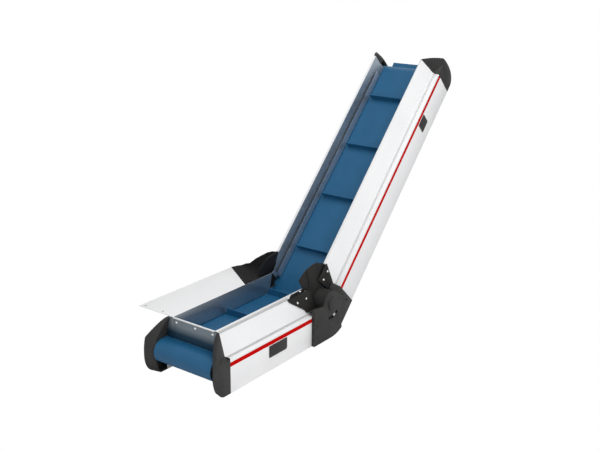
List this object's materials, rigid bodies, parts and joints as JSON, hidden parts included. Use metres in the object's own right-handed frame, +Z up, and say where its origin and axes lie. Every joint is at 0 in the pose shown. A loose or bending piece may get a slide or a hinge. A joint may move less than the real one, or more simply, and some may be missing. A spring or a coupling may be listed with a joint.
{
  "type": "belt conveyor section",
  "caption": "Cleated belt conveyor section with a flanged infeed trough, an adjustable knee with fan guards and a raised incline.",
  "frame": {"origin": "centre of the mounting rail's underside, under the level section, flush with the side profiles", "axes": "+X along the level section from the tail to the knee, +Y to the side with the wide flange, +Z up"},
  "size_m": [1.5405, 0.4445, 0.9844],
  "materials": {
    "white_profile": "satin",
    "red_insert": "satin",
    "black_plastic": "matte",
    "black_sheet": "matte",
    "rubber_sheet": "matte",
    "belt": "satin",
    "stainless_sheet": "satin",
    "zinc_steel": "satin",
    "drum_shell": "satin"
  },
  "bodies": {
    "level_section": {"side_profile_base_near": "white_profile", "side_profile_base_far": "white_profile", "strip_base_near": "red_insert", "strip_base_far": "red_insert", "end_cap_tail_near": "black_plastic", "end_cap_tail_far": "black_plastic", "side_cover_base_near": "black_plastic", "side_cover_base_far": "black_plastic", "knee_cover_near": "black_plastic", "knee_cover_far": "black_plastic", "pivot_pin_near": "zinc_steel", "pivot_pin_far": "zinc_steel", "fan_base_near": "black_sheet", "fan_base_far": "black_sheet", "wing_base_near": "black_sheet", "wing_base_far": "black_sheet", "liner_base_near": "stainless_sheet", "liner_base_far": "stainless_sheet", "disc_axle_near": "black_plastic", "disc_axle_far": "black_plastic", "rear_plate": "stainless_sheet", "slider_bed_base": "stainless_sheet", "cross_tie_base_1": "zinc_steel", "cross_tie_base_2": "zinc_steel", "mount_rail": "zinc_steel", "corner_flange_far": "rubber_sheet", "return_shoe": "stainless_sheet", "tail_lip": "stainless_sheet", "belt_base": "belt", "belt_knee_top": "belt", "belt_knee_return": "belt"},
    "incline_section": {"side_profile_incline_near": "white_profile", "side_profile_incline_far": "white_profile", "strip_incline_near": "red_insert", "strip_incline_far": "red_insert", "end_cap_head_near": "black_plastic", "end_cap_head_far": "black_plastic", "side_cover_incline_near": "black_plastic", "side_cover_incline_far": "black_plastic", "knee_plate_near": "black_plastic", "knee_plate_far": "black_plastic", "lock_bolt_near": "zinc_steel", "lock_bolt_far": "zinc_steel", "fan_incline_near": "black_sheet", "fan_incline_far": "black_sheet", "wing_incline_near": "black_sheet", "wing_incline_far": "black_sheet", "liner_incline_near": "stainless_sheet", "liner_incline_far": "stainless_sheet", "slider_bed_incline": "stainless_sheet", "cross_tie_incline_1": "zinc_steel", "cross_tie_incline_2": "zinc_steel", "head_shaft": "zinc_steel", "belt_incline": "belt"},
    "take_up": {"take_up_carriage": "zinc_steel"},
    "tail_drum": {"tail_drum": "drum_shell"},
    "head_drum": {"head_drum": "drum_shell"},
    "hold_down_near": {"hold_down_disc_near": "belt"},
    "hold_down_far": {"hold_down_disc_far": "belt"}
  },
  "joints": [
    {"name": "knee", "type": "hinge", "parent": "level_section", "child": "incline_section", "pos_m": [0.3, 0, 0.14], "axis": [0, -1, 0], "range_deg": [-36, 4], "deforming": ["belt_knee_top", "belt_knee_return", "corner_flange_far"]},
    {"name": "take_up_slide", "type": "slide", "parent": "level_section", "child": "take_up", "axis": [1, 0, 0], "range_m": [0, 0.012]},
    {"name": "head_drum_spin", "type": "hinge", "parent": "incline_section", "child": "head_drum", "pos_m": [1.09291, 0, 0.88262], "axis": [0, 1, 0], "continuous": true},
    {"name": "tail_drum_spin", "type": "hinge", "parent": "take_up", "child": "tail_drum", "pos_m": [-0.291, 0, 0.0855], "axis": [0, 1, 0], "continuous": true},
    {"name": "hold_down_near_spin", "type": "hinge", "parent": "level_section", "child": "hold_down_near", "pos_m": [0.29478, 0, 0.1523], "axis": [0, 1, 0], "continuous": true},
    {"name": "hold_down_far_spin", "type": "hinge", "parent": "level_section", "child": "hold_down_far", "pos_m": [0.29478, 0, 0.1523], "axis": [0, 1, 0], "continuous": true}
  ],
  "couplings": [
    {"joint": "tail_drum_spin", "follows": "head_drum_spin", "ratio": 1},
    {"joint": "hold_down_near_spin", "follows": "head_drum_spin", "ratio": -1.6145},
    {"joint": "hold_down_far_spin", "follows": "head_drum_spin", "ratio": -1.6145}
  ]
}
